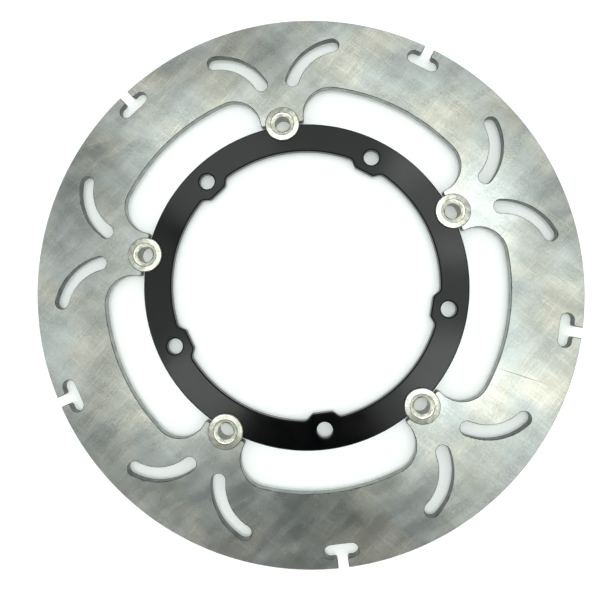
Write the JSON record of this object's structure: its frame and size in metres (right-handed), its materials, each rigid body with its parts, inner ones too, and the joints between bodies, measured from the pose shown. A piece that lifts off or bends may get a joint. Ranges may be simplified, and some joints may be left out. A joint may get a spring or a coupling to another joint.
{
  "type": "brake disc rotor",
  "caption": "Floating motorcycle front brake disc: slotted steel friction ring with rim notches, hung from a black aluminium carrier by hollow flanged bobbins.",
  "frame": {"origin": "on the spin axis, in the plane that the bobbins' back ends stand on when the disc lies front face up", "axes": "+Z along the spin axis, out of the front face; +Y through the first bobbin; +X completes the right-handed frame"},
  "size_m": [0.3, 0.3, 0.0109],
  "materials": {
    "ground_steel": "ground and lightly scratched satin steel",
    "black_anodised": "satin black anodised aluminium",
    "nickel": "turned, warm nickel-plated",
    "spring_steel": "bare spring steel",
    "zinc_plate": "zinc plated",
    "black_phosphate": "dark phosphated spring steel"
  },
  "bodies": {
    "carrier": {"carrier": "black_anodised"},
    "ring": {"friction_ring": "ground_steel"},
    "bobbin_1": {"bobbin_1": "nickel", "wave_washer_1": "spring_steel", "flat_washer_1": "zinc_plate", "retaining_ring_1": "black_phosphate"},
    "bobbin_2": {"bobbin_2": "nickel", "wave_washer_2": "spring_steel", "flat_washer_2": "zinc_plate", "retaining_ring_2": "black_phosphate"},
    "bobbin_3": {"bobbin_3": "nickel", "wave_washer_3": "spring_steel", "flat_washer_3": "zinc_plate", "retaining_ring_3": "black_phosphate"},
    "bobbin_4": {"bobbin_4": "nickel", "wave_washer_4": "spring_steel", "flat_washer_4": "zinc_plate", "retaining_ring_4": "black_phosphate"},
    "bobbin_5": {"bobbin_5": "nickel", "wave_washer_5": "spring_steel", "flat_washer_5": "zinc_plate", "retaining_ring_5": "black_phosphate"}
  },
  "joints": [
    {"name": "ring_float", "type": "slide", "parent": "carrier", "child": "ring", "axis": [0, 0, 1], "range_m": [-0.0002, 0.0002], "stiffness_N_per_m": 150000},
    {"name": "bobbin_1_spin", "type": "hinge", "parent": "carrier", "child": "bobbin_1", "pos_m": [0, 0.09025, 0.0068], "axis": [0, 0, 1], "continuous": true},
    {"name": "bobbin_2_spin", "type": "hinge", "parent": "carrier", "child": "bobbin_2", "pos_m": [-0.08583, 0.02789, 0.0068], "axis": [0, 0, 1], "continuous": true},
    {"name": "bobbin_3_spin", "type": "hinge", "parent": "carrier", "child": "bobbin_3", "pos_m": [-0.05305, -0.07301, 0.0068], "axis": [0, 0, 1], "continuous": true},
    {"name": "bobbin_4_spin", "type": "hinge", "parent": "carrier", "child": "bobbin_4", "pos_m": [0.05305, -0.07301, 0.0068], "axis": [0, 0, 1], "continuous": true},
    {"name": "bobbin_5_spin", "type": "hinge", "parent": "carrier", "child": "bobbin_5", "pos_m": [0.08583, 0.02789, 0.0068], "axis": [0, 0, 1], "continuous": true}
  ]
}
